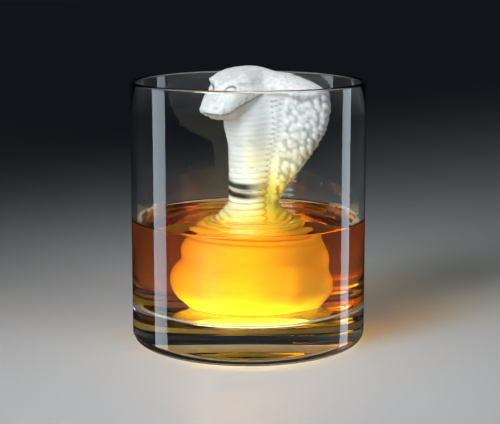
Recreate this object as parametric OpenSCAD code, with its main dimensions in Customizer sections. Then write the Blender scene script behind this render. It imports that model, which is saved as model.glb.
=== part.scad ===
// Rocks tumbler of whisky with one cast piece of ice shaped as a rearing cobra.
// Millimetres. +Z is up, the cobra faces -Y, and the origin is the middle of the foot.

/* [Tumbler] */
// Outside diameter of the straight wall
glass_d = 84; // [80:1:96]
// Height from the foot to the rim
glass_h = 94; // [88:1:110]
// Thickness of the wall
wall_t = 1.8; // [1.4:0.1:3]
// Thickness of the heavy base
base_t = 13; // [9:0.5:18]
// Radius of the corner around the foot
foot_round = 4; // [2:0.5:6]
// Radius of the corner around the floor of the well
well_round = 6; // [3:0.5:9]
// Diameter of the hollow under the base
punt_d = 58; // [40:1:64]
// Depth of the hollow under the base
punt_depth = 2.6; // [1:0.1:4]

/* [Whisky] */
// Depth of the whisky over the floor of the well
whisky_depth = 31.5; // [22:0.5:36]
// Height that the whisky climbs at the wall
meniscus = 1.2; // [0.6:0.1:1.8]
// Clearance of the whisky from the well and the coil
film = 0.3; // [0.3:0.1:0.6]

/* [Coil] */
// Outside diameter of the lower turn
low_turn_d = 43.5; // [40:0.5:46]
// Thickness of the body in the lower turn
low_body_d = 22; // [19:0.5:23]
// Outside diameter of the upper turn
top_turn_d = 38; // [36:0.5:40]
// Thickness of the body in the upper turn
top_body_d = 17; // [15:0.5:18]
// Rise from the middle of the lower turn to the middle of the upper turn
turn_rise = 10.5; // [9:0.5:12]
// Depth of the flat that the coil stands on
foot_flat = 1.2; // [0.6:0.1:2]
// Depth of the crease between the two turns
crease = 1.2; // [0.8:0.1:2]
// Thickness of the tail where it ends
tail_d = 4; // [3:0.5:6]
// Setback of the coil behind the middle of the glass
coil_back = 1.7; // [0:0.1:2.5]
// Clearance under the ice
seat_gap = 0.2; // [0.1:0.1:0.5]

/* [Neck and hood] */
// Thickness of the neck
neck_d = 17.5; // [16:0.5:20]
// Reach of the two shoulders of the coil beside the neck
fold_reach = 8.5; // [6:0.1:9]
// Height over which the shoulders fall away
fold_rise = 12.3; // [10:0.1:13]
// Direction of a shoulder, in degrees from the way the cobra faces
fold_angle = 140; // [120:1:160]
// Softness of the fillet between the neck and the coil
neck_fillet = 2; // [1:0.5:3]
// Setback of the neck behind the middle of the glass
neck_back = 2.5; // [1.5:0.5:3.5]
// Forward lean of the neck at its top
neck_lean = 0.5; // [0:0.5:3]
// Fullness of the throat under the head
throat_full = 1.8; // [0:0.1:2.5]
// Height over the ice foot where the hood starts
hood_low = 37; // [35:0.5:40]
// Height over the ice foot where the hood ends
hood_top = 85; // [83:0.5:88]
// Reach of a wing from the middle of the neck
hood_reach = 28; // [24:0.5:30]
// Share of the height of the hood at which it is widest
hood_peak = 0.72; // [0.6:0.01:0.78]
// Sharpness of the roll-over at the top of the hood
hood_fall = 0.5; // [0.3:0.05:0.8]
// Direction of a wing, in degrees from the way the cobra faces
wing_angle = 119; // [105:1:125]
// Fullness of a wing, in degrees
wing_full = 22; // [18:1:26]
// Fullness of a wing at its top, where it runs on from the head, in degrees
cape_full = 30; // [22:1:36]
// Fullness of the back between the wings
back_full = 3; // [1:0.5:5]

/* [Belly scutes] */
// Number of scutes up the neck
scute_count = 19; // [12:1:20]
// Number of scutes on the throat, beside the jaw
throat_count = 4; // [3:1:5]
// Step from one scute to the next
scute_step = 0.5; // [0.3:0.05:0.8]
// Half width of the belly, in degrees
belly_angle = 85; // [70:1:92]
// How much wider the lowest scute is than the average
scute_grow = 0.2; // [0:0.05:0.3]

/* [Head] */
// Length from the middle of the neck to the snout
head_l = 22.5; // [21:0.5:25]
// Width across the jaws
head_w = 20.5; // [19:0.5:22]
// Height of the crown over the ice foot
crown_h = 85.7; // [84:0.1:88]
// Height of the chin over the ice foot
chin_h = 67; // [66:0.1:68.5]
// Height of the tip of the snout over the ice foot
snout_h = 71.5; // [70.5:0.1:74]
// Diameter of an eye
eye_d = 4.2; // [3.5:0.1:5]
// Distance of the eyes behind the tip of the snout
eye_back = 6.8; // [6:0.1:9]
// Bulge of an eye
eye_bulge = 1.3; // [0.8:0.1:1.8]
// Bulge of the brow over an eye
brow_bulge = 2.4; // [1:0.1:3]
// Bulge of the cheek behind an eye
cheek_bulge = 0.9; // [0:0.1:1.5]
// Inset of the lower jaw under the lip
jaw_inset = 1.4; // [0.5:0.1:2]

/* [Hidden] */
glass_r = glass_d / 2;
well_r = glass_r - wall_t;
rim_r = wall_t / 2;
brim_r = well_r - film;
level = base_t + whisky_depth;
ice_z = base_t + seat_gap;
low_r = low_body_d / 2;
top_r = top_body_d / 2;
low_ring = low_turn_d / 2 - low_r;
top_ring = top_turn_d / 2 - top_r;
low_z = ice_z + low_r - foot_flat;
top_z = low_z + turn_rise;
neck_r = neck_d / 2;
hood_rise = hood_fall * hood_peak / (1 - hood_peak);
shoulder = hood_low + 0.78 * (hood_top - hood_low);
coil_h = top_z + top_r - ice_z;
scute_low = coil_h - 1;
scute_high = chin_h - 0.4;
eps = 0.01;

// Shape helpers

function clamp(t) = max(0, min(1, t));
function ease(t) = let(c = clamp(t)) c * c * (3 - 2 * c);
function mix(a, b, t) = a + (b - a) * t;
function swell(from, wide) = exp(-pow(from / wide, 2));
// The larger of two sizes, with a soft fillet where they are close
function soft_max(a, b, soft) = let(d = clamp(0.5 + (a - b) / (2 * soft))) mix(b, a, d) + soft * d * (1 - d);

// Tumbler

module wall_outline() {
    difference() {
        square([glass_r, glass_h - rim_r]);
        translate([glass_r - foot_round, -eps])
            square([foot_round + 1, foot_round + eps]);
    }
    translate([glass_r - foot_round, foot_round])
        circle(foot_round);
    translate([glass_r - rim_r, glass_h - rim_r])
        circle(rim_r);
}

// The well up to a height, drawn in from its wall and its floor by an inset
module well_outline(top, inset) {
    corner = well_r - well_round;
    translate([0, base_t + inset])
        square([corner, top - base_t - inset]);
    translate([0, base_t + well_round])
        square([well_r - inset, top - base_t - well_round]);
    translate([corner, base_t + well_round])
        circle(well_round - inset);
}

module tumbler() {
    punt_r = (pow(punt_d / 2, 2) + pow(punt_depth, 2)) / (2 * punt_depth);
    color([0.86, 0.93, 0.95, 0.4])
        difference() {
            rotate_extrude()
                difference() {
                    wall_outline();
                    well_outline(glass_h + 1, 0);
                }
            translate([0, 0, punt_depth - punt_r])
                sphere(punt_r, $fn = 200);
        }
}

// Whisky

// Section of both turns and of the room around the neck, with a straight flank between the turns
module turns_outline(extra) {
    run = sqrt(pow(low_ring - top_ring, 2) + pow(turn_rise, 2));
    flank = atan2(turn_rise, top_ring - low_ring) - acos((low_r - top_r) / run);
    out = [cos(flank), sin(flank)];
    room_r = neck_r + fold_reach + abs(neck_back - coil_back) + scute_step;
    intersection() {
        union() {
            translate([low_ring, low_z])
                circle(low_r + extra);
            translate([top_ring, top_z])
                circle(top_r + extra);
            polygon([
                [low_ring, low_z] + (low_r + extra) * out,
                [top_ring, top_z] + (top_r + extra) * out,
                [0, top_z],
                [0, low_z]
            ]);
            translate([0, base_t - 1])
                square([low_turn_d / 2 + extra, low_z - base_t + 1]);
            translate([0, low_z])
                square([top_ring, top_z + top_r + extra - low_z]);
            translate([0, top_z])
                square([room_r + extra, max(top_r, level - top_z + 1)]);
        }
        square([glass_r, glass_h]);
    }
}

module whisky() {
    color([0.85, 0.42, 0.05, 0.7])
        difference() {
            rotate_extrude()
                union() {
                    well_outline(level, film);
                    polygon([
                        [brim_r - meniscus, level - eps],
                        [brim_r, level - eps],
                        [brim_r, level + meniscus],
                        [brim_r - meniscus / 4, level + meniscus / 3]
                    ]);
                }
            translate([0, coil_back, 0])
                rotate_extrude()
                    turns_outline(film);
        }
}

// Ice: the coil, as the radius of its turns at a height and a direction

// Share of the way down from the upper turn to the lower one, taken at the back
function step_down(a) = ease((abs(a) - 110) / 70) / 2;
function turn_r(ring, body, away) = abs(away) < body ? ring + sqrt(body * body - away * away) : 0;
function between(t, z) = turn_r(mix(top_ring, low_ring, t), mix(top_r, low_r, t), z - mix(top_z, low_z, t));
function tail_r(turned, z) = let(
    thin = ease((turned - 80) / 170),
    body = mix(low_r, tail_d / 2, thin)
) turn_r(low_turn_d / 2 - body - 3 * thin, body, z - ice_z - body + foot_flat * (1 - thin));
function core_r(z) = z > top_z
    ? turn_r(top_ring, top_r - crease, z - top_z)
    : z < low_z
    ? turn_r(low_ring, low_r - crease, z - low_z)
    : mix(low_turn_d / 2, top_turn_d / 2, (z - low_z) / turn_rise) - crease;
// The upper turn leans in to the neck where the body rises out of the coil
function rising_r(t, z) = turn_r(top_ring * (1 - 2 * t), top_r, z - top_z - t * turn_rise);
function coil_r(a, z) = soft_max(
    a < 0
        ? max(between(1 - step_down(a), z), rising_r(step_down(a), z), a < -110 ? tail_r(a + 360, z) : 0)
        : max(between(step_down(a), z), tail_r(a, z)),
    core_r(z),
    1
);
// The same radius, met from the middle of the neck
function coil_from_neck(a, z, back) = let(r = coil_r(a, z), d = back * cos(a))
    r > back ? d + sqrt(r * r - back * back + d * d) : 0;

// Ice: the neck and the hood

function hood_share(h) = let(s = clamp((h - hood_low) / (hood_top - hood_low)))
    pow(s / hood_peak, hood_rise) * pow((1 - s) / (1 - hood_peak), hood_fall);
function dome(h) = h < shoulder ? 1 : sqrt(max(0, 1 - pow((h - shoulder) / (hood_top - shoulder), 2)));
function wing(a, h) = let(top = ease((h - shoulder + 3) / 8))
    swell(abs(a) - wing_angle, abs(a) < wing_angle ? mix(wing_full, cape_full, top) : wing_full);
function spine(a) = swell(180 - abs(a), 45);
function neck_at(h) = -neck_back + neck_lean * ease((h - scute_low) / (hood_top - scute_low));
function neck_foot(a, h) = fold_reach * pow(cos(a - fold_angle), 2)
    * pow(max(0, 1 - pow(max(0, h - scute_low + 3) / fold_rise, 2)), 1.5);
function throat(a, h) = throat_full * ease((h - chin_h) / 11 + 1) * ease((130 - abs(a)) / 50);
function hood_r(a, h) = dome(h) * (neck_r + neck_foot(a, h) + throat(a, h)
    + (hood_reach - neck_r) * hood_share(h) * wing(a, h)
    + back_full * hood_share(h) * spine(a));
function scute_h(k) = let(t = k / scute_count)
    mix(scute_low, scute_high, (1 + scute_grow) * t - scute_grow * t * t);
function throat_h(k) = chin_h + 1.7 * k;

// Ice: the head, by stations from the middle of the neck at 0 to the snout at 1

head_at = neck_at(hood_top);
function head_half(s) = s > 0
    ? head_w / 2 * sqrt(max(0.001, 1 - pow(s, 2.4)))
    : head_w / 2 * sqrt(max(0.001, 1 - pow(s / 0.32, 2)));
function head_roof(s) = s > 0
    ? crown_h - (crown_h - snout_h) * pow(s, 2.6) - 2 * swell(s - 0.72, 0.16)
    : crown_h - 18 * s * s;
function head_chin(s) = s > 0
    ? chin_h + (snout_h - chin_h) * pow(s, 14)
    : chin_h - 10 * s;
function mouth_h(s) = chin_h + 2 + 8.5 * max(0, 0.85 - s) * ease((0.85 - s) / 0.3);

// Eye, brow and cheek, as a swelling of the side of the head
eye_s = 1 - eye_back / head_l;
eye_h = mix(mouth_h(eye_s), head_roof(eye_s), 0.8);
function side_swell(s, h) = let(
    ahead = (s - eye_s) * head_l,
    brow_h = eye_h + eye_d * 0.95 - 0.03 * pow(ahead + eye_d, 2)
) eye_bulge * swell(ahead, eye_d * 0.45) * swell(h - eye_h, eye_d * 0.28)
    + brow_bulge * swell(ahead + eye_d, eye_d * 0.9) * swell(h - brow_h, eye_d * 0.35)
    + cheek_bulge * swell((s - 0.25) * head_l, head_l / 5) * swell(h - mouth_h(0.25) - 3, 3);

function in_head(u, v, h) = let(
    s = (v - head_at) / head_l,
    half = head_half(s) + side_swell(s, h),
    middle = (head_roof(s) + head_chin(s)) / 2,
    tall = (head_roof(s) - head_chin(s)) / 2
) s < 1 && s > -0.31 && pow(abs(u) / half, 2.3) + pow(abs(h - middle) / max(0.01, tall), 2.3) < 1;
function head_reach(a, h, near, far, steps) = let(
    r = (near + far) / 2,
    inside = in_head(r * sin(a), neck_at(h) + r * cos(a), h)
) steps == 0 ? r : head_reach(a, h, inside ? r : near, inside ? far : r, steps - 1);
function head_r(a, h) = h > chin_h && h < crown_h && in_head(0, neck_at(h), h)
    ? head_reach(a, h, 0, head_l * 1.2, 14)
    : 0;

// The lower jaw is drawn in under the lip
function jaw_fall(a, h, r) = let(s = (neck_at(h) + r * cos(a) - head_at) / head_l)
    jaw_inset * ease((mouth_h(s) - h) / 0.8) * ease(s / 0.2);

// Ice: one skin from the foot to the crown, in rings around the middle of the neck

// Directions of the points of a ring, closer together along the sides of the head
directions = [for (k = [0 : 67])
    k < 32 ? let(t = k / 16 - 1) 63 * t + 6 * sin(360 * t)
    : let(a = 63 + (k - 32) * 6.5) a > 180 ? a - 360 : a];
function ice_r(a, h, proud) = let(
    body = soft_max(
        hood_r(a, h) + proud * scute_step * ease((belly_angle - abs(a)) / 8),
        coil_from_neck(a, ice_z + h, -neck_at(h) - coil_back),
        neck_fillet
    ),
    head = head_r(a, h)
) max(0.05, head > 0 ? soft_max(body, head - jaw_fall(a, h, head), mix(1.2, 3.5, ease((abs(a) - 70) / 40))) : body);
function ice_ring(h, proud) = [for (a = directions)
    let(r = ice_r(a, h, proud)) [r * sin(a), -neck_at(h) - r * cos(a), ice_z + h]];

ring_list = concat(
    [for (t = [0 : 12]) [mix(0, coil_h * 0.78, t / 12), 0]],
    [for (t = [1 : 6]) [mix(coil_h * 0.78, scute_low, sin(15 * t)), 0]],
    [for (k = [0 : scute_count - 1]) each [[scute_h(k) + 0.2, 1], [scute_h(k + 1) - 0.2, 0]]],
    [for (k = [0 : throat_count - 1]) each [[throat_h(k) + 0.05, 1], [throat_h(k + 1) - 0.25, 0]]],
    [for (t = [0 : 20]) [mix(throat_h(throat_count), crown_h, sin(4.5 * t)), 0]],
    [[crown_h - 0.01, 0]]
);

// Each square of the skin is split along the way that the lip, or a turn of the coil, runs there
function skin_faces(rings, points) = concat(
    [for (i = [0 : rings - 2], j = [0 : points - 1])
        let(k = (j + 1) % points, low = i * points, high = low + points)
        each directions[j] >= 0 && directions[j] < 63
            ? [[low + j, high + j, high + k], [low + j, high + k, low + k]]
            : [[low + j, high + j, low + k], [high + j, high + k, low + k]]],
    [[for (j = [0 : points - 1]) j]],
    [[for (j = [points - 1 : -1 : 0]) (rings - 1) * points + j]]
);

module ice_cobra() {
    color([0.93, 0.96, 1])
        polyhedron(
            [for (r = ring_list) each ice_ring(r[0], r[1])],
            skin_faces(len(ring_list), len(directions))
        );
}

tumbler();
whisky();
ice_cobra();
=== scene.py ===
import math

import bpy
import numpy as np
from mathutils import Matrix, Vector


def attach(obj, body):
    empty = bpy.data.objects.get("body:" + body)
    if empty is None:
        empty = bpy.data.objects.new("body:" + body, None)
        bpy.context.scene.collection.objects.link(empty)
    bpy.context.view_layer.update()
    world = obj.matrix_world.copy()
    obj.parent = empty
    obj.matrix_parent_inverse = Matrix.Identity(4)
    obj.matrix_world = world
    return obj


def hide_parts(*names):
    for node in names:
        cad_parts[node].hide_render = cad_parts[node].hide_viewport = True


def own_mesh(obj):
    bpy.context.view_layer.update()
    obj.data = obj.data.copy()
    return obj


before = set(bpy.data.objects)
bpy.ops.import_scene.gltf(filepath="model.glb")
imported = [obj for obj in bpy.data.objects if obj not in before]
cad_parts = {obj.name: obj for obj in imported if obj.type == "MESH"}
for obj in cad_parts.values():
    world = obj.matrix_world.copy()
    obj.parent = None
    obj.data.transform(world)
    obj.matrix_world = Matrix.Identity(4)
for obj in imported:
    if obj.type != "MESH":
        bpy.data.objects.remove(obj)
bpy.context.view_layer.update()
scene = bpy.context.scene
mm = 0.001  # the sizes below are in millimetres, Blender's are in metres
print("frame loaded:", sorted(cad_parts))


def hexColor(code):  # sRGB hex to the linear colour that Blender's sockets take
    parts = [int(code[i:i + 2], 16) / 255 for i in (1, 3, 5)]
    return [c / 12.92 if c <= 0.04045 else ((c + 0.055) / 1.055) ** 2.4 for c in parts] + [1.0]


def addNode(tree, kind, settings=None, sockets=None):
    node = tree.nodes.new(kind)
    for name, value in (settings or {}).items():
        setattr(node, name, value)
    for key, value in (sockets or {}).items():
        if isinstance(value, bpy.types.NodeSocket):
            tree.links.new(value, node.inputs[key])
        else:
            node.inputs[key].default_value = value
    return node


def newMaterial(name):
    material = bpy.data.materials.new(name)
    material.use_nodes = True
    material.node_tree.nodes.clear()
    return material, material.node_tree


def newPiece(name, points, faces, smooth=True):
    mesh = bpy.data.meshes.new(name)
    mesh.from_pydata(points, [], faces)
    mesh.validate()
    mesh.update()
    mesh.polygons.foreach_set("use_smooth", [smooth] * len(mesh.polygons))
    piece = bpy.data.objects.new(name, mesh)
    scene.collection.objects.link(piece)
    return piece


def bakeModifiers(piece):  # turns what the modifiers make into a plain mesh
    bpy.context.view_layer.update()
    shown = piece.evaluated_get(bpy.context.evaluated_depsgraph_get())
    mesh = bpy.data.meshes.new_from_object(shown)
    piece.modifiers.clear()
    piece.data = mesh
    mesh.polygons.foreach_set("use_smooth", [True] * len(mesh.polygons))
    return piece


def growNodes(piece, name, tree, material):  # runs a Geometry Nodes tree on a piece, as a plain mesh
    modifier = piece.modifiers.new(name, "NODES")
    modifier.node_group = tree
    for socket in tree.interface.items_tree:
        if socket.in_out == "INPUT" and socket.name == "Material":
            modifier[socket.identifier] = material
    return bakeModifiers(piece)


def arc(middle, radius, start, stop, steps):  # points of an arc in the r, z plane
    turns = np.radians(np.linspace(start, stop, steps + 1))
    return [(middle[0] + radius * math.cos(t), middle[1] + radius * math.sin(t)) for t in turns]


def lathe(name, outline, steps):  # outline runs from the axis, up the outside, back to the axis
    points = [(0, 0, outline[0][1] * mm)]
    for r, z in outline[1:-1]:
        for t in np.linspace(0, 2 * math.pi, steps, endpoint=False):
            points.append((r * math.cos(t) * mm, r * math.sin(t) * mm, z * mm))
    points.append((0, 0, outline[-1][1] * mm))
    last = len(points) - 1
    faces = []
    for j in range(steps):
        k = (j + 1) % steps
        faces.append((0, 1 + k, 1 + j))
        for i in range(len(outline) - 3):
            low = 1 + i * steps
            faces.append((low + j, low + k, low + steps + k, low + steps + j))
        faces.append((last, last - steps + j, last - steps + k))
    return newPiece(name, points, faces)


# Camera and stage, in metres and degrees

stage = {
    "floor": "#e2e4e6", "room": "#14171b", "roomStrength": 1.0, "floorReach": 3.0,
    "cameraTurn": 50.0, "cameraDistance": 0.520, "cameraHeight": 0.1398, "cameraPitch": 10.18,
    "lens": 105.5, "axisPixel": 248.3, "imageWidth": 500,
}

# Tumbler: pressed soda-lime glass, fire polished

glass = {
    "radius": 42.0, "height": 94.0, "wall": 1.8, "base": 13.0,
    "footRound": 4.0, "footLand": 4.0, "wellRound": 6.0, "puntRadius": 29.0, "puntDepth": 2.6,
    "steps": 256, "puntSteps": 16, "cornerSteps": 14, "wallRings": 6, "wallInset": 12.0,
    "wellStart": 28.0, "floorRings": (26, 14, 5, 0),
}
wellRadius = glass["radius"] - glass["wall"]


def puntOutline():
    r, d = glass["puntRadius"], glass["puntDepth"]
    ball = (r * r + d * d) / (2 * d)
    reach = np.linspace(0, r, glass["puntSteps"])
    return [(x, d - ball + math.sqrt(ball * ball - x * x)) for x in reach]


def wellOutline(grow):  # from the straight wall round the corner to the floor
    corner = (wellRadius - glass["wellRound"], glass["base"] + glass["wellRound"])
    return arc(corner, glass["wellRound"] + grow, 0, -90, glass["cornerSteps"])


def makeTumbler():
    r, h, foot, rim = glass["radius"], glass["height"], glass["footRound"], glass["wall"] / 2
    corner, inset, rings = glass["cornerSteps"], glass["wallInset"], glass["wallRings"]
    outline = puntOutline()
    outline += [(r - foot - glass["footLand"], 0)]
    outline += arc((r - foot, foot), foot, -90, 0, corner)
    outline += [(r, z) for z in np.linspace(inset, h - inset, rings)]
    outline += arc((r - rim, h - rim), rim, 0, 180, corner)
    outline += [(wellRadius, z) for z in np.linspace(h - inset, glass["wellStart"], rings)]
    outline += wellOutline(0)
    outline += [(x, glass["base"]) for x in glass["floorRings"]]
    return lathe("tumblerGlass", outline, glass["steps"])


def glassMaterial():  # soda-lime glass, fire polished: clear, sharp highlights, lamps shine through
    material, tree = newMaterial("soda_lime_glass")
    light = addNode(tree, "ShaderNodeLightPath")
    body = addNode(tree, "ShaderNodeBsdfPrincipled", {}, {
        "Base Color": hexColor("#fafdfc"), "Roughness": 0.0, "IOR": 1.52, "Transmission Weight": 1.0})
    through = addNode(tree, "ShaderNodeBsdfTransparent", {}, {"Color": hexColor("#f4f8f7")})
    mixed = addNode(tree, "ShaderNodeMixShader", {}, {
        0: light.outputs["Is Shadow Ray"], 1: body.outputs[0], 2: through.outputs[0]})
    addNode(tree, "ShaderNodeOutputMaterial", {}, {"Surface": mixed.outputs[0]})
    return material


tumbler = makeTumbler()
tumbler.data.materials.append(glassMaterial())
print("tumbler made:", len(tumbler.data.polygons), "faces")

# Whisky: fills the well, with its edge drawn up the glass

drink = {
    "level": 44.5, "meniscus": 0.8, "meniscusReach": 2.4, "overlap": 0.06,
    "ripple": 0.15, "rippleLength": 9.0, "rippleFade": 6.0, "steps": 256, "surfaceRings": 40,
    "floorRings": (0, 8, 20), "wallRings": (28, 36), "edgeRings": 14,
    "amber": "#fdf287", "density": 248.0,  # what a depth of the drink leaves of the light
}


def makeWhisky():
    brim = wellRadius + drink["overlap"]
    outline = [(x, glass["base"] - drink["overlap"]) for x in drink["floorRings"]]
    outline += list(reversed(wellOutline(drink["overlap"])))
    outline += [(brim, z) for z in (*drink["wallRings"], drink["level"])]
    for x in np.linspace(0, drink["meniscusReach"], drink["edgeRings"]):
        outline.append((brim - x, drink["level"] + drink["meniscus"] * math.exp(-1.6 * x)))
    inner = outline[-1][0]
    outline += [(x, drink["level"]) for x in np.linspace(inner - 1, 0, drink["surfaceRings"])]
    piece = lathe("whiskyDrink", outline, drink["steps"])
    for vertex in piece.data.vertices:  # slow ripples on the open surface
        r = math.hypot(vertex.co.x, vertex.co.y) / mm
        if vertex.co.z / mm > drink["level"] - 0.01 and r < inner:
            turn = math.atan2(vertex.co.y, vertex.co.x)
            wave = math.sin(2 * math.pi * r / drink["rippleLength"] + 2 * math.sin(3 * turn))
            vertex.co.z += drink["ripple"] * wave * mm * min(1, (inner - r) / drink["rippleFade"])
    return piece


def whiskyMaterial():  # whisky: clear amber liquid, paler where it is shallow
    material, tree = newMaterial("amber_whisky")
    light = addNode(tree, "ShaderNodeLightPath")
    body = addNode(tree, "ShaderNodeBsdfPrincipled", {}, {
        "Base Color": hexColor("#fffaf0"), "Roughness": 0.0, "IOR": 1.36, "Transmission Weight": 1.0})
    through = addNode(tree, "ShaderNodeBsdfTransparent", {}, {"Color": hexColor("#fffdf8")})
    mixed = addNode(tree, "ShaderNodeMixShader", {}, {
        0: light.outputs["Is Shadow Ray"], 1: body.outputs[0], 2: through.outputs[0]})
    depth = addNode(tree, "ShaderNodeVolumeAbsorption", {}, {
        "Color": hexColor(drink["amber"]), "Density": drink["density"]})
    addNode(tree, "ShaderNodeOutputMaterial", {}, {
        "Surface": mixed.outputs[0], "Volume": depth.outputs[0]})
    return material


whisky = makeWhisky()
whisky.data.materials.append(whiskyMaterial())
print("whisky made:", len(whisky.data.polygons), "faces")

# Ice cobra: one casting; r is the distance of its skin from the middle of the neck, at a
# direction a (degrees, 0 is the way it faces) and a height h over its foot

coil = {
    "lowTurn": 43.5, "lowBody": 22.0, "topTurn": 38.0, "topBody": 17.0, "rise": 10.5,
    "footFlat": 1.2, "crease": 1.2, "tail": 4.0, "tailTuck": 3.0, "back": 1.7, "foot": 13.2,
    "stepStart": 110.0, "stepReach": 70.0, "tailStart": 80.0, "tailReach": 170.0,  # degrees round it
}
hood = {
    "neck": 17.5, "foldReach": 8.5, "foldRise": 12.3, "foldAngle": 140.0, "fillet": 2.0,
    "back": 2.5, "lean": 0.5, "throat": 1.8, "low": 37.0, "top": 85.0, "shoulder": 0.78,
    "reach": 28.0, "peak": 0.72, "fall": 0.5, "wingAngle": 119.0, "wingFull": 22.0,
    "capeFull": 30.0, "capeRise": 1.1, "backFull": 3.0, "spineFull": 45.0,
}
head = {
    "length": 22.5, "width": 20.5, "crown": 85.7, "chin": 67.0, "snout": 71.5, "nape": 0.32,
    "cheek": 0.9, "cheekAt": 0.25, "jawInset": 1.4, "nostrilAt": 0.9,
    "brow": 2.4, "browRise": 0.9, "crownRise": 1.2, "napeRise": 0.85,
    "eyeBack": 7.5, "eye": 4.2, "eyeLong": 2.2, "eyeTall": 1.3, "eyeRise": 0.35,
    "eyeTurn": 50.0, "eyeSlant": 24.0, "socket": 0.45, "throatPitch": 1.7,
    "mouthDepth": 0.5, "nostrilDepth": 0.5, "lipPlate": 2.6, "lipPlateDepth": 0.2, "lipWave": 1.5,
}
lowR, topR, neckR = coil["lowBody"] / 2, coil["topBody"] / 2, hood["neck"] / 2
lowRing, topRing = coil["lowTurn"] / 2 - lowR, coil["topTurn"] / 2 - topR
lowZ = lowR - coil["footFlat"]
topZ = lowZ + coil["rise"]
coilTop = topZ + topR
scuteLow, scuteHigh = coilTop - 1, head["chin"] - 0.4
hoodRise = hood["fall"] * hood["peak"] / (1 - hood["peak"])
shoulder = hood["low"] + hood["shoulder"] * (hood["top"] - hood["low"])


def ease(t):
    c = np.clip(t, 0, 1)
    return c * c * (3 - 2 * c)


def mix(a, b, t):
    return a + (b - a) * t


def softMax(a, b, soft):
    d = np.clip(0.5 + (a - b) / (2 * soft), 0, 1)
    return mix(b, a, d) + soft * d * (1 - d)


def swell(distance, wide):
    return np.exp(-(distance / wide) ** 2)


def turnRadius(ring, body, away):
    return np.where(np.abs(away) < body, ring + np.sqrt(np.maximum(body ** 2 - away ** 2, 0)), 0)


def coilRadius(a, z):
    step = ease((np.abs(a) - coil["stepStart"]) / coil["stepReach"]) / 2

    def between(t):
        return turnRadius(mix(topRing, lowRing, t), mix(topR, lowR, t), z - mix(topZ, lowZ, t))

    def tail(turned):
        thin = ease((turned - coil["tailStart"]) / coil["tailReach"])
        body = mix(lowR, coil["tail"] / 2, thin)
        ring = coil["lowTurn"] / 2 - body - coil["tailTuck"] * thin
        return turnRadius(ring, body, z - body + coil["footFlat"] * (1 - thin))

    rising = turnRadius(topRing * (1 - 2 * step), topR, z - topZ - step * coil["rise"])
    flank = mix(coil["lowTurn"], coil["topTurn"], (z - lowZ) / coil["rise"]) / 2 - coil["crease"]
    core = np.where(
        z > topZ, turnRadius(topRing, topR - coil["crease"], z - topZ),
        np.where(z < lowZ, turnRadius(lowRing, lowR - coil["crease"], z - lowZ), flank))
    tip = np.where(a < -coil["stepStart"], tail(a + 360), 0)
    left = np.maximum(np.maximum(between(1 - step), rising), tip)
    right = np.maximum(between(step), tail(a))
    return softMax(np.where(a < 0, left, right), core, 1)


def neckAt(h):
    return -hood["back"] + hood["lean"] * ease((h - scuteLow) / (hood["top"] - scuteLow))


def coilFromNeck(a, h):
    back, r = -neckAt(h) - coil["back"], coilRadius(a, h)
    d = back * np.cos(np.radians(a))
    return np.where(r > back, d + np.sqrt(np.maximum(r * r - back * back + d * d, 0)), 0)


def hoodRadius(a, h):
    side = np.abs(a)
    s = np.clip((h - hood["low"]) / (hood["top"] - hood["low"]), 0, 1)
    share = (s / hood["peak"]) ** hoodRise * ((1 - s) / (1 - hood["peak"])) ** hood["fall"]
    over = np.maximum(0, (h - shoulder) / (hood["top"] - shoulder))
    dome = np.sqrt(np.maximum(0, 1 - over ** 2))
    cape = mix(hood["wingFull"], hood["capeFull"], ease((h - shoulder + 3) / 8))
    full = np.where(side < hood["wingAngle"], cape, hood["wingFull"])
    wing = swell(side - hood["wingAngle"], full)
    spine = swell(180 - side, hood["spineFull"])
    fold = np.maximum(0, 1 - (np.maximum(0, h - scuteLow + 3) / hood["foldRise"]) ** 2) ** 1.5
    fold *= hood["foldReach"] * np.cos(np.radians(a - hood["foldAngle"])) ** 2
    throat = hood["throat"] * ease((h - head["chin"]) / 11 + 1) * ease((130 - side) / 50)
    reach = (hood["reach"] - neckR) * share * wing
    return dome * (neckR + fold + throat + reach + hood["backFull"] * share * spine)


headAt = neckAt(hood["top"])


def alongHead(r, a, h):  # 0 at the middle of the neck, 1 at the tip of the snout
    return (neckAt(h) + r * np.cos(np.radians(a)) - headAt) / head["length"]


def headHalf(s):
    front = 1 - np.maximum(s, 0) ** 2.4
    rear = 1 - (np.minimum(s, 0) / head["nape"]) ** 2
    return head["width"] / 2 * np.sqrt(np.maximum(0.001, np.where(s > 0, front, rear)))


def headRoof(s):
    front = np.maximum(s, 0)
    fall = (head["crown"] - head["snout"]) * front ** 2.6 + 2.6 * swell(s - 0.79, 0.16)
    return head["crown"] - np.where(s > 0, fall, 18 * s * s)


def headChin(s):
    rise = (head["snout"] - head["chin"]) * np.maximum(s, 0) ** 14
    return head["chin"] + np.where(s > 0, rise, -10 * s)


def mouthHeight(s):
    return head["chin"] + 2 + 8.5 * np.maximum(0, 0.85 - s) * ease((0.85 - s) / 0.3)


eyeAtS = 1 - head["eyeBack"] / head["length"]
eyeHeight = mix(mouthHeight(eyeAtS), headRoof(eyeAtS), 0.86)


def sideSwell(s, h):  # brow and cheek, as a swelling of the side of the head
    size, cheekAt = head["eye"], head["cheekAt"]
    ahead = (s - eyeAtS) * head["length"] + size
    brow = swell(ahead, 0.9 * size)
    brow *= swell(h - eyeHeight - 0.8 * size + 0.03 * ahead ** 2, 0.35 * size)
    cheek = swell((s - cheekAt) * head["length"], head["length"] / 5)
    cheek *= swell(h - mouthHeight(cheekAt) - 3, 3)
    return head["brow"] * brow + head["cheek"] * cheek


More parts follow.
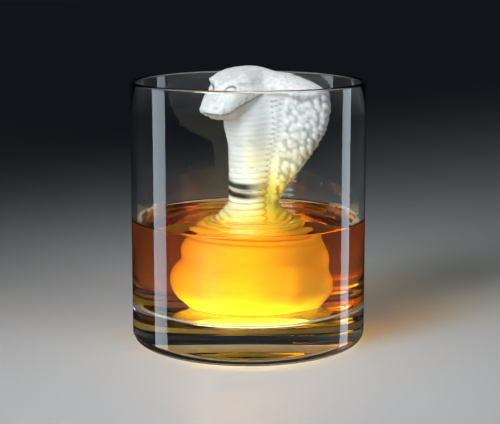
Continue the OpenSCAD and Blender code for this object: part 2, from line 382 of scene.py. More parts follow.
def inHead(r, a, h):
    s = alongHead(r, a, h)
    u = np.abs(r * np.sin(np.radians(a)))
    middle, tall = (headRoof(s) + headChin(s)) / 2, (headRoof(s) - headChin(s)) / 2
    form = (u / (headHalf(s) + sideSwell(s, h))) ** 2.3
    form += (np.abs(h - middle) / np.maximum(0.01, tall)) ** 2.3
    return (s < 1) & (s > 0.01 - head["nape"]) & (form < 1)


def headRadius(a, h):
    near, far = np.zeros_like(a), np.full_like(a, head["length"] * 1.2)
    for _ in range(16):
        r = (near + far) / 2
        inside = inHead(r, a, h)
        near, far = np.where(inside, r, near), np.where(inside, far, r)
    held = (h > head["chin"]) & (h < head["crown"]) & inHead(np.zeros_like(a), a, h)
    return np.where(held, near, 0)


def jawFall(a, h, r):  # the lower jaw is drawn in under the lip
    s = alongHead(r, a, h)
    return head["jawInset"] * ease((mouthHeight(s) - h) / 0.8) * ease(s / 0.2)


def skinRadius(a, h):
    body = softMax(hoodRadius(a, h), coilFromNeck(a, h), hood["fillet"])
    skull = headRadius(a, h)
    soft = mix(1.2, 3.5, ease((np.abs(a) - 70) / 40))
    joined = softMax(body, skull - jawFall(a, h, skull), soft)
    return np.maximum(0.05, np.where(skull > 0, joined, body))


skin = {
    "directions": 300, "coilRings": 60, "topRings": 40, "neckRings": 90, "headRings": 90, "bend": 0.78,
    "voxel": 0.41, "smoothing": 4, "pebble": 1.5, "pebbleDepth": 0.34,
    "beadPitch": 2.6, "beadRow": 1.9, "beadHeight": 0.7, "beadStart": 94.0, "beadLoose": 0.85,
    "beadGapShade": 0.42, "beadWidth": (0.54, 0.12), "beadSize": (0.65, 0.45),  # least, and what chance adds
    "scutes": 19, "scuteStep": 0.45, "scuteLift": 1.2, "scuteGrow": 0.2, "belly": 86.0,
    "wetMiddle": 40.5, "wetReach": 6.0, "paintedDarkBands": (43.8, 40.5), "bandReach": 1.1, "bandTilt": 0.8,
    "ringPitch": 1.7, "ringHeight": 0.28, "ringReach": 5.0, "ringShade": 0.7,
}


def iceCore():  # the smooth skin, in level rings, closer where it turns level
    bend, quarter = coilTop * skin["bend"], math.pi / 2
    rings = np.concatenate([
        np.linspace(0, bend, skin["coilRings"]),
        mix(bend, scuteLow, np.sin(np.linspace(0, quarter, skin["topRings"])[1:])),
        np.linspace(scuteLow, head["chin"] - 0.02, skin["neckRings"])[1:],
        mix(head["chin"] + 0.02, head["crown"] - 0.002,
            np.sin(np.linspace(0, quarter, skin["headRings"])))])
    turn = np.linspace(-180, 180, skin["directions"], endpoint=False)
    a, h = np.meshgrid(turn, rings)
    r = skinRadius(a, h)
    x, y = r * np.sin(np.radians(a)), -neckAt(h) - r * np.cos(np.radians(a))
    points = np.stack([x, y, h + coil["foot"]], -1).reshape(-1, 3) * mm
    n, faces = skin["directions"], []
    for i in range(len(rings) - 1):
        for j in range(n):
            k = (j + 1) % n
            faces.append((i * n + j, i * n + k, (i + 1) * n + k, (i + 1) * n + j))
    faces.append(tuple(range(n - 1, -1, -1)))
    faces.append(tuple((len(rings) - 1) * n + j for j in range(n)))
    return newPiece("iceCobra", points.tolist(), faces)


def polarOf(points):  # back from points to direction, height and radius
    h = points[:, 2] / mm - coil["foot"]
    x, y = points[:, 0] / mm, points[:, 1] / mm + neckAt(h)
    return np.degrees(np.arctan2(x, -y)), h, np.hypot(x, y)


def meshArray(mesh, kind):
    values = np.zeros(len(mesh.vertices) * 3)
    mesh.vertices.foreach_get(kind, values)
    return values.reshape(-1, 3)


def hoodMeasure(a, h):  # lengths along the hood's skin: around it, up it, and to its edge
    turns, rings = np.linspace(0, 180, 181), np.linspace(scuteLow - 6, hood["top"] - 0.01, 160)
    gridA, gridH = np.meshgrid(turns, rings)
    r = hoodRadius(gridA, gridH)
    px, py = r * np.sin(np.radians(gridA)), r * np.cos(np.radians(gridA))
    around = np.hypot(np.diff(px, axis=1), np.diff(py, axis=1))
    around = np.concatenate([np.zeros((len(rings), 1)), np.cumsum(around, 1)], 1)
    start = around[:, int(skin["beadStart"])][:, None]
    edge = (around - start)[:, int(hood["wingAngle"])]
    upward = np.hypot(np.diff(r, axis=0), np.diff(gridH, axis=0))
    upward = np.concatenate([np.zeros((1, len(turns))), np.cumsum(upward, 0)], 0)
    j = np.clip(np.abs(a), 0, 179.99)
    i = np.clip((h - rings[0]) / (rings[1] - rings[0]), 0, len(rings) - 1.01)
    j0, i0 = j.astype(int), i.astype(int)
    fj, fi = j - j0, i - i0

    def look(table):
        low = mix(table[i0, j0], table[i0, j0 + 1], fj)
        return mix(low, mix(table[i0 + 1, j0], table[i0 + 1, j0 + 1], fj), fi)

    return look(around - start), look(upward), np.interp(h, rings, edge)


def bellyScutes(a, h, normals, onHead):  # stepped scutes up the neck, with toothed ends; also returns their painted shade
    side = np.abs(a)
    up = h - skin["scuteLift"] * np.minimum(1, side / 90) ** 2  # the scutes rise to their ends
    t = np.clip((up - scuteLow) / (scuteHigh - scuteLow), 0, 1)
    grow = skin["scuteGrow"]  # solves the growing spacing for the scute's number
    number = skin["scutes"] * ((1 + grow) - np.sqrt((1 + grow) ** 2 - 4 * grow * t)) / (2 * grow)
    number += np.maximum(0, up - scuteHigh) / head["throatPitch"]
    phase = number - np.floor(number)
    tooth = (2 * phase - 1) ** 2  # 0 in the middle of a scute, 1 where it meets the next
    belly = skin["belly"] + 6 * ease((h - 46) / 16) - 7 * ease((46 - h) / 10) - 9 * tooth
    inReach = ease((h - scuteLow + 0.5) / 0.5) * ease((shoulder + 0.5 - h) / 2)
    inReach *= (1 - ease((normals[:, 2] - 0.4) / 0.3)) * (1 - onHead)
    onBelly = ease((belly - side) / 3) * inReach
    # painted shade along the toothed ends of the scutes
    toothShade = swell(side - belly, 1.9) * inReach * mix(0.4, 1, tooth)
    profile = ease(phase / 0.36) * (1 - 0.85 * phase)
    wet = swell(h - skin["wetMiddle"], skin["wetReach"])
    rise = skin["scuteStep"] * onBelly * profile * mix(0.55, 1.2, wet)
    # painted shade in the scute lines, stronger where the ice is wet and clear
    crease = onBelly * (swell(phase, 0.12) + swell(phase - 1, 0.08)) * mix(0.14, 0.8, wet)
    for band in skin["paintedDarkBands"]:  # painted dark bands, standing in for the dark seen through the clear wet ice
        tilted = up - band + skin["bandTilt"] * np.sin(np.radians(a))
        dark = np.minimum(1, 1.6 * swell(tilted, skin["bandReach"]))
        crease = np.maximum(crease, onBelly * dark * mix(1, 0.45, ease((a - 25) / 45)))
    return rise, np.maximum(crease, toothShade)


def coilRings(h, r, normals):  # ring ridges on the coil, around the neck's foot, with painted shade in their grooves
    rings = ease((normals[:, 2] - 0.3) / 0.3) * swell(h - coilTop, skin["ringReach"])
    ripple = np.cos(2 * math.pi * r / skin["ringPitch"])
    return skin["ringHeight"] * rings * ripple, skin["ringShade"] * rings * ease(-ripple)


def faceCarving(a, h, r, normals, onHead):  # mouth, lip plates, nostrils, eyes and brows, with painted shade in the mouth line, eye socket, nostrils and between the lip plates
    s, across = alongHead(r, a, h), np.abs(r * np.sin(np.radians(a)))
    along = (s - eyeAtS) * head["length"]
    flank = onHead * ease((np.abs(normals[:, 0]) - 0.12) / 0.25)
    ragged = 0.14 * np.sin(2 * math.pi * s * head["length"] / head["lipWave"])
    lip = swell(h - mouthHeight(s) - ragged, 0.36) * ease((s + 0.15) / 0.2) * onHead
    nostril = swell(s - head["nostrilAt"], 0.03) * flank
    nostril *= swell(h - headRoof(head["nostrilAt"]) + 1.6, 0.5)
    plates = (1 - np.abs(np.sin(math.pi * s * head["length"] / head["lipPlate"]))) ** 3
    plates *= swell(h - mouthHeight(s) - 1.5, 0.8) * ease((0.92 - s) / 0.1) * ease(s / 0.2) * flank

    beside = (np.abs(h - eyeHeight) < 0.3) & (np.abs(along) < 0.4) & (onHead > 0.5)
    turned, slant = math.radians(head["eyeTurn"]), math.radians(head["eyeSlant"])
    aside = (across - np.median(across[beside])) * math.cos(turned) - along * math.sin(turned)
    above = h - eyeHeight  # the eye and its brow fall towards the snout
    rear = (aside * math.cos(slant) + above * math.sin(slant)) / head["eyeLong"]
    over = (above * math.cos(slant) - aside * math.sin(slant)) / head["eyeTall"]
    ring = np.hypot(rear, over)  # 1 on the rim of the eye
    ball = np.sqrt(np.maximum(0, 1 - ring ** 2)) * onHead
    socket = swell(ring - 1, 0.18) * onHead
    socket *= mix(0.3, 1, ease(over + 0.5)) * mix(0.6, 1, ease(rear + 0.9))
    arch = swell(ring - 2, 0.6) * onHead * ease(over)
    crest = swell(along + 6, 4) * swell(across - 6.5, 3.2) * onHead * ease(normals[:, 2] / 0.4)

    rise = head["eyeRise"] * ball - head["socket"] * socket
    rise += head["browRise"] * arch + head["crownRise"] * crest
    rise -= head["mouthDepth"] * lip + head["nostrilDepth"] * nostril + head["lipPlateDepth"] * plates
    return rise, np.maximum.reduce([0.8 * lip, socket, 0.4 * nostril, 0.6 * plates])


def napeFill(a, h, r, normals):  # rounds the nape and the top of the hood into one line
    along = (alongHead(r, a, h) - eyeAtS) * head["length"]
    nape = swell(along + 14, 5) * swell(np.abs(r * np.sin(np.radians(a))) - 8, 5)
    cover = ease((h - shoulder) / 4) * ease((np.abs(a) - 55) / 45) * ease((r - 6) / 9)
    return (head["napeRise"] * nape + hood["capeRise"] * cover) * ease(normals[:, 2] / 0.5)


def paintedAmberGlow(a, h):  # painted amber light: where the drink's light would reach up the sides of the neck
    side = np.abs(a)
    back = ease((150 - side) / 30)
    low = ease((58 - h) / 18) * ease((side - 40) / 40) * back * ease((h - scuteLow) / 4)
    return np.maximum(low, 0.35 * swell(h - 53, 8) * ease((side - 15) / 35) * back)


def carve(piece):  # moves the skin along its normals, and keeps what the beads and the ice read
    mesh = piece.data
    points, normals = meshArray(mesh, "co"), meshArray(mesh, "normal")
    a, h, r = polarOf(points)
    side = np.abs(a)
    onHead = ease((headRadius(a, h) - hoodRadius(a, h) + 0.5) / 1.5)
    cape = ease((h - shoulder) / 2.5) * ease((side - 55) / 20) * (1 - onHead)
    # fold: a painted shade line where the cape folds down to the hood's face; it moves no skin
    fold = swell(h - shoulder - 0.4, 0.7) * (1 - onHead)
    fold *= ease((side - 70) / 10) * ease((116 - side) / 8)
    scuteRise, scuteShade = bellyScutes(a, h, normals, onHead)
    ringRise, ringShade = coilRings(h, r, normals)
    faceRise, faceShade = faceCarving(a, h, r, normals, onHead)
    rise = scuteRise + ringRise + faceRise + napeFill(a, h, r, normals)
    points += normals * rise[:, None] * mm
    mesh.vertices.foreach_set("co", points.ravel())
    around, upward, edge = hoodMeasure(a, h)
    mask = ease(around / 1.2) * ease((h - hood["low"] + 2) / 4) * ease((hood["top"] - h) / 4)
    mask *= ease((np.abs(around - edge) - 0.5) / 0.9) * (1 - onHead) * (1 - cape)
    kept = {
        "around": around * mm, "upward": upward * mm, "beadMask": mask,
        # crease: painted shade in the scute lines, ring grooves, mouth, eye socket, nostrils, lip
        # plates and the hood's fold
        "crease": np.maximum.reduce([scuteShade, ringShade, faceShade, 0.45 * fold]),
        # amber: painted amber light, standing in for the drink's light up the neck
        "amber": paintedAmberGlow(a, h), "headSkin": np.maximum(onHead, cape),
    }
    for name, values in kept.items():
        attribute = mesh.attributes.new(name, "FLOAT", "POINT")
        attribute.data.foreach_set("value", values.astype(np.float32))
    mesh.update()


def beadTree():  # bead scales: low domes of uneven size, scattered along the hood's skin, with painted shade in the gaps between them
    tree = bpy.data.node_groups.new("beadScales", "GeometryNodeTree")
    face = tree.interface
    face.new_socket("Geometry", in_out="INPUT", socket_type="NodeSocketGeometry")
    for name, value in (("Pitch", skin["beadPitch"] * mm), ("Row", skin["beadRow"] * mm),
                        ("Height", skin["beadHeight"] * mm), ("Loose", skin["beadLoose"])):
        face.new_socket(name, in_out="INPUT", socket_type="NodeSocketFloat").default_value = value
    face.new_socket("Material", in_out="INPUT", socket_type="NodeSocketMaterial")
    face.new_socket("Geometry", in_out="OUTPUT", socket_type="NodeSocketGeometry")
    inputs = addNode(tree, "NodeGroupInput").outputs

    reads = {}  # what carve kept on the skin
    for name in ("around", "upward", "beadMask", "headSkin", "crease"):
        reads[name] = addNode(tree, "GeometryNodeInputNamedAttribute", {"data_type": "FLOAT"}, {
            "Name": name}).outputs["Attribute"]
    place = addNode(tree, "GeometryNodeInputPosition").outputs[0]
    column = addNode(tree, "ShaderNodeMath", {"operation": "DIVIDE"}, {
        0: reads["around"], 1: inputs["Pitch"]}).outputs[0]
    row = addNode(tree, "ShaderNodeMath", {"operation": "DIVIDE"}, {
        0: reads["upward"], 1: inputs["Row"]}).outputs[0]
    spot = addNode(tree, "ShaderNodeCombineXYZ", {}, {0: column, 1: row}).outputs[0]
    cells = addNode(tree, "ShaderNodeTexVoronoi", {"voronoi_dimensions": "2D"}, {
        "Vector": spot, "Scale": 1.0, "Randomness": inputs["Loose"]}).outputs
    luck = addNode(tree, "ShaderNodeSeparateXYZ", {}, {0: cells["Color"]}).outputs[0]
    width = addNode(tree, "ShaderNodeMath", {"operation": "MULTIPLY_ADD"}, {
        0: luck, 1: skin["beadWidth"][1], 2: skin["beadWidth"][0]}).outputs[0]
    edge = addNode(tree, "ShaderNodeMath", {"operation": "DIVIDE"}, {
        0: cells["Distance"], 1: width}).outputs[0]
    square = addNode(tree, "ShaderNodeMath", {"operation": "MULTIPLY"}, {0: edge, 1: edge}).outputs[0]
    bowl = addNode(tree, "ShaderNodeMath", {"operation": "SUBTRACT"}, {0: 1.0, 1: square}).outputs[0]
    cut = addNode(tree, "ShaderNodeMath", {"operation": "MAXIMUM"}, {0: bowl, 1: 0.0}).outputs[0]
    crown = addNode(tree, "ShaderNodeMath", {"operation": "POWER"}, {0: cut, 1: 0.7}).outputs[0]
    size = addNode(tree, "ShaderNodeMath", {"operation": "MULTIPLY_ADD"}, {
        0: luck, 1: skin["beadSize"][1], 2: skin["beadSize"][0]}).outputs[0]
    dome = addNode(tree, "ShaderNodeMath", {"operation": "MULTIPLY"}, {0: crown, 1: size}).outputs[0]
    bead = addNode(tree, "ShaderNodeMath", {"operation": "MULTIPLY"}, {
        0: dome, 1: reads["beadMask"]}).outputs[0]
    pebble = addNode(tree, "ShaderNodeTexVoronoi", {"feature": "SMOOTH_F1"}, {
        "Vector": place, "Scale": 1 / (skin["pebble"] * mm), "Smoothness": 0.3}).outputs["Distance"]
    grain = addNode(tree, "ShaderNodeMath", {"operation": "MULTIPLY"}, {
        0: pebble, 1: reads["headSkin"]}).outputs[0]
    dimple = addNode(tree, "ShaderNodeMath", {"operation": "MULTIPLY"}, {
        0: grain, 1: -skin["pebbleDepth"] * mm}).outputs[0]
    rise = addNode(tree, "ShaderNodeMath", {"operation": "MULTIPLY_ADD"}, {
        0: bead, 1: inputs["Height"], 2: dimple}).outputs[0]
    normal = addNode(tree, "GeometryNodeInputNormal").outputs[0]
    shift = addNode(tree, "ShaderNodeVectorMath", {"operation": "SCALE"}, {0: normal, "Scale": rise})
    # painted shade in the gaps between the beads, joined with the painted shade kept in crease
    low = addNode(tree, "ShaderNodeMath", {"operation": "SUBTRACT"}, {0: 1.0, 1: dome}).outputs[0]
    narrow = addNode(tree, "ShaderNodeMath", {"operation": "POWER"}, {0: low, 1: 3.0}).outputs[0]
    faint = addNode(tree, "ShaderNodeMath", {"operation": "MULTIPLY"}, {
        0: reads["beadMask"], 1: skin["beadGapShade"]}).outputs[0]
    gapShade = addNode(tree, "ShaderNodeMath", {"operation": "MULTIPLY"}, {0: narrow, 1: faint}).outputs[0]
    crease = addNode(tree, "ShaderNodeMath", {"operation": "MAXIMUM"}, {
        0: gapShade, 1: reads["crease"]}).outputs[0]
    kept = addNode(tree, "GeometryNodeStoreNamedAttribute", {"data_type": "FLOAT", "domain": "POINT"}, {
        "Geometry": inputs["Geometry"], "Name": "crease", "Value": crease})
    moved = addNode(tree, "GeometryNodeSetPosition", {}, {
        "Geometry": kept.outputs[0], "Offset": shift.outputs[0]})
    real = addNode(tree, "GeometryNodeRealizeInstances", {}, {"Geometry": moved.outputs[0]})
    painted = addNode(tree, "GeometryNodeSetMaterial", {}, {
        "Geometry": real.outputs[0], "Material": inputs["Material"]})
    addNode(tree, "NodeGroupOutput", {}, {"Geometry": painted.outputs[0]})
    return tree


frosting = {  # by the height over the table, in millimetres; the greys stand for a share
    # tint and vein: the ice's colour, with painted amber light from the drink in the yellow and orange
    # stops near the drink's level
    "tint": ((20, "#fffbe6"), (44, "#fff08c"), (49, "#fff8dc"), (60, "#fffbf0"), (74, "#f4f7fa")),
    "vein": ((20, "#ffd080"), (44, "#ffb050"), (52, "#f0e6d8"), (74, "#c8d0d8")),
    # colours of the painted shade in creases and of the painted dark bands: brown in the drink's light,
    # grey higher up
    "creaseShadeColors": ((42, "#c07a18"), (48, "#5a330c"), (56, "#30281f"), (66, "#8d98a2"), (82, "#98a2ac"),
               (89, "#4c545c")),
    "clear": ((30, "#555555"), (40, "#707070"), (44, "#a8a8a8"), (50, "#a8a8a8"), (57, "#909090"),
              (66, "#707070"), (84, "#585858")),
    "rough": ((38, "#707070"), (44, "#1c1c1c"), (57, "#303030"), (68, "#a8a8a8")),
}
iceLook = {  # millimetres; frost crystals are finer, and drawn this coarse so that they show
    "foot": 13.0, "tall": 86.0, "waver": 8.0, "cloud": 9.0, "streak": 16.0, "streakFlat": 4.0,
    "streakShare": 0.35, "frost": 0.9, "frostRough": 0.1, "pebble": 1.3, "pebbleShade": 0.14,
    "pebbleSink": 0.6, "bump": 0.35, "bumpHeight": 0.25, "glow": 0.8, "amber": "#ffe878",
}


def iceMaterial():  # molded ice: frosted white where dry, clear where the drink wets it
    material, tree = newMaterial("molded_ice")
    where = addNode(tree, "ShaderNodeTexCoord").outputs["Object"]
    height = addNode(tree, "ShaderNodeSeparateXYZ", {}, {0: where}).outputs["Z"]
    crease = addNode(tree, "ShaderNodeAttribute", {"attribute_name": "crease"}).outputs["Fac"]
    cloud = addNode(tree, "ShaderNodeTexNoise", {}, {
        "Vector": where, "Scale": 1 / (iceLook["cloud"] * mm), "Detail": 4.0,
        "Roughness": 0.6}).outputs["Fac"]
    frost = addNode(tree, "ShaderNodeTexNoise", {}, {
        "Vector": where, "Scale": 1 / (iceLook["frost"] * mm), "Detail": 3.0,
        "Roughness": 0.55}).outputs["Fac"]
    wavy = addNode(tree, "ShaderNodeMath", {"operation": "MULTIPLY_ADD"}, {
        0: cloud, 1: iceLook["waver"] * mm, 2: height}).outputs[0]
    low = iceLook["foot"] + iceLook["waver"] / 2
    share = addNode(tree, "ShaderNodeMapRange", {}, {
        "Value": wavy, "From Min": low * mm, "From Max": (low + iceLook["tall"]) * mm}).outputs[0]
    ramps = {}
    for use, stops in frosting.items():
        ramp = addNode(tree, "ShaderNodeValToRGB", {}, {0: share})
        while len(ramp.color_ramp.elements) < len(stops):
            ramp.color_ramp.elements.new(0.5)
        for mark, (z, color) in zip(ramp.color_ramp.elements, stops):
            mark.position, mark.color = (z - iceLook["foot"]) / iceLook["tall"], hexColor(color)
        ramps[use] = ramp.outputs[0]
    pebble = addNode(tree, "ShaderNodeTexVoronoi", {"feature": "F1"}, {
        "Vector": where, "Scale": 1 / (iceLook["pebble"] * mm)}).outputs["Distance"]
    headSkin = addNode(tree, "ShaderNodeAttribute", {"attribute_name": "headSkin"}).outputs["Fac"]
    grain = addNode(tree, "ShaderNodeMath", {"operation": "MULTIPLY"}, {
        0: pebble, 1: headSkin}).outputs[0]
    # painted shade in the pebble dimples of the head and cape
    pebbleShadow = addNode(tree, "ShaderNodeMapRange", {}, {
        "Value": grain, "From Min": 0.4, "From Max": 0.8, "To Max": iceLook["pebbleShade"]}).outputs[0]
    shadow = addNode(tree, "ShaderNodeMath", {"operation": "MAXIMUM"}, {
        0: crease, 1: pebbleShadow}).outputs[0]
    # painted amber light from the drink, multiplied into the ice's colour
    amber = addNode(tree, "ShaderNodeAttribute", {"attribute_name": "amber"}).outputs["Fac"]
    amberGlowTint = addNode(tree, "ShaderNodeMix", {"data_type": "RGBA", "blend_type": "MULTIPLY"}, {
        "Factor": amber, 6: ramps["tint"], 7: hexColor(iceLook["amber"])}).outputs[2]
    flat = addNode(tree, "ShaderNodeMapping", {}, {
        "Vector": where, "Scale": (1, 1, iceLook["streakFlat"])}).outputs[0]
    streak = addNode(tree, "ShaderNodeTexNoise", {}, {
        "Vector": flat, "Scale": 1 / (iceLook["streak"] * mm), "Detail": 5.0,
        "Roughness": 0.6}).outputs["Fac"]
    veined = addNode(tree, "ShaderNodeMapRange", {}, {
        "Value": streak, "From Min": 0.45, "From Max": 0.75,
        "To Max": iceLook["streakShare"]}).outputs[0]
    cloudy = addNode(tree, "ShaderNodeMix", {"data_type": "RGBA", "blend_type": "MULTIPLY"}, {
        "Factor": veined, 6: amberGlowTint, 7: ramps["vein"]}).outputs[2]
    # painted shade: the crease and pebble shade darken the colour towards the shade colours
    shaded = addNode(tree, "ShaderNodeMix", {"data_type": "RGBA", "blend_type": "MULTIPLY"}, {
        "Factor": shadow, 6: cloudy, 7: ramps["creaseShadeColors"]}).outputs[2]
    roughness = addNode(tree, "ShaderNodeMath", {"operation": "MULTIPLY_ADD"}, {
        0: frost, 1: iceLook["frostRough"], 2: ramps["rough"]}).outputs[0]
    relief = addNode(tree, "ShaderNodeMath", {"operation": "MULTIPLY_ADD"}, {
        0: grain, 1: -iceLook["pebbleSink"], 2: frost}).outputs[0]
    bump = addNode(tree, "ShaderNodeBump", {}, {
        "Strength": iceLook["bump"], "Distance": iceLook["bumpHeight"] * mm,
        "Height": relief}).outputs[0]
    body = addNode(tree, "ShaderNodeBsdfPrincipled", {"subsurface_method": "RANDOM_WALK"}, {
        "Base Color": shaded, "Roughness": roughness, "IOR": 1.31,
        "Transmission Weight": ramps["clear"], "Subsurface Weight": 1.0,
        "Subsurface Radius": (0.9, 1.0, 1.0), "Subsurface Scale": iceLook["glow"] * mm,
        "Normal": bump})
    addNode(tree, "ShaderNodeOutputMaterial", {}, {"Surface": body.outputs[0]})
    return material


def makeIce():
    piece = iceCore()
    remesh = piece.modifiers.new("skin", "REMESH")
    remesh.mode = "VOXEL"
    remesh.voxel_size = skin["voxel"] * mm
    soften = piece.modifiers.new("soften", "SMOOTH")
    soften.factor = 0.5
    soften.iterations = skin["smoothing"]
    bakeModifiers(piece)
    carve(piece)
    return growNodes(piece, "beads", beadTree(), iceMaterial())


ice = makeIce()
print("ice made:", len(ice.data.polygons), "faces")

# Froth: small bubbles that cling to the glass at the edge of the drink

froth = {
    "arcs": ((62, 128, 90), (-116, -74, 50), (-159, -156, 2)),  # turns from the camera's side, count
    "small": 0.22, "large": 0.75, "lift": 0.5, "scatter": 1.2, "climb": 0.9, "seed": 7,
}


def frothTree():  # bubbles of uneven size, along arcs of the drink's edge
    tree = bpy.data.node_groups.new("frothBubbles", "GeometryNodeTree")
    face = tree.interface
    for name, value in (("Radius", wellRadius * mm),
                        ("Height", (drink["level"] + froth["lift"]) * mm),
                        ("Small", froth["small"] * mm), ("Large", froth["large"] * mm),
                        ("Scatter", froth["scatter"] * mm), ("Climb", froth["climb"] * mm)):
        face.new_socket(name, in_out="INPUT", socket_type="NodeSocketFloat").default_value = value
    face.new_socket("Material", in_out="INPUT", socket_type="NodeSocketMaterial")
    face.new_socket("Geometry", in_out="OUTPUT", socket_type="NodeSocketGeometry")
    inputs = addNode(tree, "NodeGroupInput").outputs
    joined = addNode(tree, "GeometryNodeJoinGeometry")
    for start, stop, count in froth["arcs"]:
        line = addNode(tree, "GeometryNodeCurveArc", {}, {
            "Radius": inputs["Radius"], "Resolution": 48,
            "Start Angle": math.radians(start + stage["cameraTurn"] - 90),
            "Sweep Angle": math.radians(stop - start)})
        dots = addNode(tree, "GeometryNodeCurveToPoints", {"mode": "COUNT"}, {
            "Curve": line.outputs[0], "Count": count})
        tree.links.new(dots.outputs[0], joined.inputs[0])
    jitter = addNode(tree, "FunctionNodeRandomValue", {"data_type": "FLOAT"}, {
        2: 0.0, 3: inputs["Scatter"], "Seed": froth["seed"]}).outputs[1]
    place = addNode(tree, "GeometryNodeInputPosition").outputs[0]
    outward = addNode(tree, "ShaderNodeVectorMath", {"operation": "NORMALIZE"}, {0: place}).outputs[0]
    size = addNode(tree, "FunctionNodeRandomValue", {"data_type": "FLOAT"}, {
        2: 0.0, 3: 1.0, "Seed": froth["seed"] + 1}).outputs[1]
    curved = addNode(tree, "ShaderNodeMath", {"operation": "POWER"}, {0: size, 1: 2.5}).outputs[0]
    radius = addNode(tree, "ShaderNodeMapRange", {}, {
        "Value": curved, "To Min": inputs["Small"], "To Max": inputs["Large"]}).outputs[0]
    back = addNode(tree, "ShaderNodeMath", {"operation": "MULTIPLY_ADD"}, {
        0: radius, 1: -1.0, 2: 0.0}).outputs[0]
    depth = addNode(tree, "ShaderNodeMath", {"operation": "SUBTRACT"}, {
        0: back, 1: jitter}).outputs[0]
    pulled = addNode(tree, "ShaderNodeVectorMath", {"operation": "SCALE"}, {
        0: outward, "Scale": depth}).outputs[0]
    climb = addNode(tree, "FunctionNodeRandomValue", {"data_type": "FLOAT"}, {
        2: 0.0, 3: inputs["Climb"], "Seed": froth["seed"] + 2}).outputs[1]
    height = addNode(tree, "ShaderNodeMath", {"operation": "ADD"}, {
        0: inputs["Height"], 1: climb}).outputs[0]
    lift = addNode(tree, "ShaderNodeCombineXYZ", {}, {2: height}).outputs[0]
    shift = addNode(tree, "ShaderNodeVectorMath", {"operation": "ADD"}, {
        0: pulled, 1: lift}).outputs[0]
    moved = addNode(tree, "GeometryNodeSetPosition", {}, {
        "Geometry": joined.outputs[0], "Offset": shift})
    ball = addNode(tree, "GeometryNodeMeshIcoSphere", {}, {"Radius": 1.0, "Subdivisions": 2})
    placed = addNode(tree, "GeometryNodeInstanceOnPoints", {}, {
        "Points": moved.outputs[0], "Instance": ball.outputs[0], "Scale": radius})
    real = addNode(tree, "GeometryNodeRealizeInstances", {}, {"Geometry": placed.outputs[0]})
    painted = addNode(tree, "GeometryNodeSetMaterial", {}, {
        "Geometry": real.outputs[0], "Material": inputs["Material"]})
    addNode(tree, "NodeGroupOutput", {}, {"Geometry": painted.outputs[0]})
    return tree


def bubbleMaterial():  # a film of whisky round air: clear, with a bright glint
    material, tree = newMaterial("whisky_froth")
    body = addNode(tree, "ShaderNodeBsdfPrincipled", {}, {
        "Base Color": hexColor("#fff6e6"), "Roughness": 0.02, "IOR": 1.2, "Transmission Weight": 0.8})
    addNode(tree, "ShaderNodeOutputMaterial", {}, {"Surface": body.outputs[0]})
    return material


def makeFroth():
    piece = newPiece("whiskyFroth", [(0, 0, 0)], [])
    return growNodes(piece, "bubbles", frothTree(), bubbleMaterial())


whiskyFroth = makeFroth()
print("froth made:", len(whiskyFroth.data.polygons), "faces")

# What rides on which body

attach(tumbler, "tumbler")
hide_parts("tumbler")
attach(whisky, "whisky")
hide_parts("whisky")
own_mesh(whisky)
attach(whiskyFroth, "whisky")
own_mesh(whiskyFroth)
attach(ice, "ice")
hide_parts("ice_cobra")

# Stage: pale floor, dark room, soft boxes with honeycombs and strip lights


def stagePlace(turn, distance, height):  # a place at a turn from the camera's side, to the right
    t = math.radians(stage["cameraTurn"] + turn)
    return Vector((distance * math.sin(t), -distance * math.cos(t), height))


def addLamp(name, place, target, size, power, spread=180, shine=True, glow=True, only=None,
            tint="#ffffff"):
    data = bpy.data.lights.new(name, "AREA")
    data.shape = "RECTANGLE"
    data.size, data.size_y = size
    data.energy = power
    data.color = hexColor(tint)[:3]
    data.spread = math.radians(spread)  # a honeycomb keeps the light off the floor far behind
    lamp = bpy.data.objects.new(name, data)
    lamp.location = place
    lamp.rotation_euler = (Vector(target) - Vector(place)).to_track_quat("-Z", "Y").to_euler()
    lamp.visible_camera = False
    lamp.visible_diffuse = lamp.visible_volume_scatter = glow
    lamp.visible_glossy = lamp.visible_transmission = shine
    if only:  # lights these pieces and nothing else
        lamp.light_linking.receiver_collection = bpy.data.collections.new(name)
        for piece in only:
            lamp.light_linking.receiver_collection.objects.link(piece)
    scene.collection.objects.link(lamp)
    return lamp


def makeFloor():
    r = stage["floorReach"]
    corners = [(-r, -r, 0), (r, -r, 0), (r, r, 0), (-r, r, 0)]
    floor = newPiece("floor", corners, [(0, 1, 2, 3)], False)
    material, tree = newMaterial("pale_floor")
    body = addNode(tree, "ShaderNodeBsdfPrincipled", {}, {
        "Base Color": hexColor(stage["floor"]), "Roughness": 0.4})
    addNode(tree, "ShaderNodeOutputMaterial", {}, {"Surface": body.outputs[0]})
    floor.data.materials.append(material)
    floor.visible_glossy = False  # so that the glass mirrors the strips and the dark room


def makeRoom():
    world = bpy.data.worlds.new("room")
    scene.world = world
    world.use_nodes = True
    world.node_tree.nodes.clear()
    back = addNode(world.node_tree, "ShaderNodeBackground", {}, {
        "Color": hexColor(stage["room"]), "Strength": stage["roomStrength"]})
    addNode(world.node_tree, "ShaderNodeOutputWorld", {}, {"Surface": back.outputs[0]})


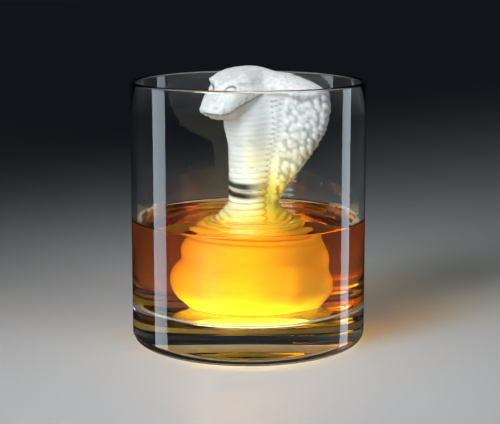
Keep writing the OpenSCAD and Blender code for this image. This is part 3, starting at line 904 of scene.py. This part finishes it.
def makeCamera():
    data = bpy.data.cameras.new("camera")
    data.sensor_width = 36.0
    data.lens = stage["lens"]
    data.shift_x = (stage["imageWidth"] / 2 - stage["axisPixel"]) / stage["imageWidth"]
    camera = bpy.data.objects.new("camera", data)
    camera.location = stagePlace(0, stage["cameraDistance"], stage["cameraHeight"])
    camera.rotation_euler = (
        math.radians(90 - stage["cameraPitch"]), 0, math.radians(stage["cameraTurn"]))
    scene.collection.objects.link(camera)
    scene.camera = camera


pieces = [tumbler, whisky, whiskyFroth, ice]
near = stagePlace(0, 0.06, 0.06)  # a little before the glass, so that the floor behind goes dark
strip = {"glow": False, "only": pieces, "tint": "#d8e8f4"}  # seen only as reflections
makeFloor()
makeRoom()
makeCamera()
addLamp("keySoftbox", stagePlace(-38, 0.50, 0.29), near, (0.28, 0.28), 0.345, spread=50)
addLamp("fillSoftbox", stagePlace(46, 0.50, 0.20), near, (0.25, 0.25), 0.08, spread=50, shine=False)
addLamp("topSoftbox", stagePlace(10, 0.12, 0.50), near, (0.26, 0.26), 0.045, spread=60)
addLamp("rimSoftbox", stagePlace(160, 0.45, 0.30), (0, 0, 0.07), (0.25, 0.25), 0.26, spread=60,
        shine=False, only=[ice])
addLamp("leftStrip", stagePlace(-93.7, 0.93, -0.10), (0, 0, -0.10), (0.29, 0.50), 2.3, **strip)
addLamp("rightStrip", stagePlace(107, 0.93, -0.10), (0, 0, -0.10), (0.22, 0.50), 1.5, **strip)
addLamp("baseGlow", (0, 0, 0.0004), (0, 0, 1), (0.036, 0.036), 0.24, shine=False, only=[ice])
for side, turn, power in (("left", -42, 0.045), ("right", 52, 0.075), ("back", 180, 0.045)):
    addLamp(side + "CoilGlow", stagePlace(turn, 0.22, 0.006), (0, 0, 0.016), (0.10, 0.03), power,
            spread=26, shine=False, only=[ice])  # light that the drink throws on the coil

scene.view_settings.view_transform = "Standard"
scene.cycles.max_bounces = 24
scene.cycles.transmission_bounces = 20
scene.cycles.transparent_max_bounces = 24
